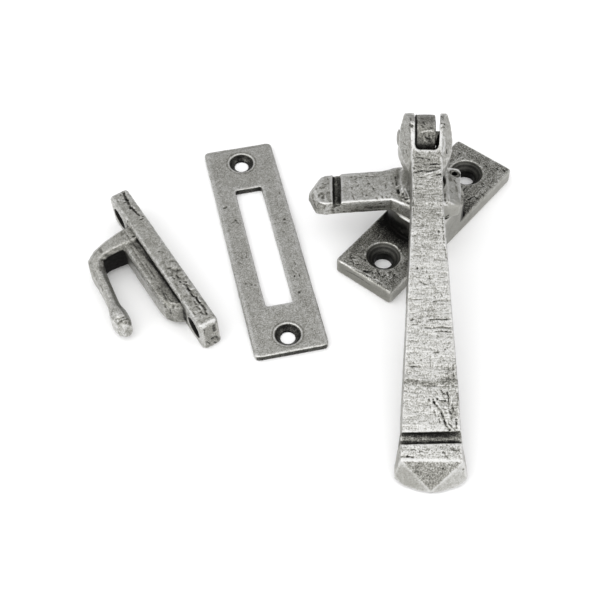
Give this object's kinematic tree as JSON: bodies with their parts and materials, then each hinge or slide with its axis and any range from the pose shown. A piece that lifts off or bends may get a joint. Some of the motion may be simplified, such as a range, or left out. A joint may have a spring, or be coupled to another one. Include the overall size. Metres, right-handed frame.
{
  "type": "hinged casement fastener with hook plate and mortice plate",
  "caption": "Casement window fastener: a hinged lever handle swings a tongue block on an oblong base plate, with a hook plate and a slotted mortice plate as its keeps.",
  "frame": {"origin": "underside of the base plate, on the axis the tongue block swings about", "axes": "+Z out of the face of the base plate; the handle points along -Y and the tongue along -X in the half-turned pose shown"},
  "size_m": [0.1178, 0.1162, 0.0303],
  "materials": {
    "pewter_plate": "dark pewter patina, rubbed bright on the edges",
    "pewter_handle": "pewter patina with a brushed, worn face",
    "pewter_keep": "mid pewter patina, lightly blasted",
    "post_steel": "turned steel, patinated",
    "spring_steel": "oiled spring steel",
    "screw_steel": "blackened steel, thinly oiled"
  },
  "bodies": {
    "base": {"base_plate": "pewter_plate", "spindle_post": "post_steel", "retaining_washer": "post_steel", "mortice_plate": "pewter_keep", "hook_plate": "pewter_keep"},
    "block": {"tongue_block": "pewter_handle", "wave_washer": "spring_steel"},
    "lever": {"handle": "pewter_handle", "pivot_pin": "post_steel"},
    "lock": {"lock_screw": "screw_steel"}
  },
  "joints": [
    {"name": "tongue_swing", "type": "hinge", "parent": "base", "child": "block", "pos_m": [0, 0, 0], "axis": [0, 0, 1], "range_deg": [-39, 51]},
    {"name": "handle_lift", "type": "hinge", "parent": "block", "child": "lever", "pos_m": [-0.0011, 0.0109, 0.0235], "axis": [-0.9997, 0.0244, 0], "range_deg": [-0.2, 100]},
    {"name": "lock_screw_travel", "type": "slide", "parent": "block", "child": "lock", "axis": [0, 0, 1], "range_m": [-0.0002, 0.0015]}
  ]
}
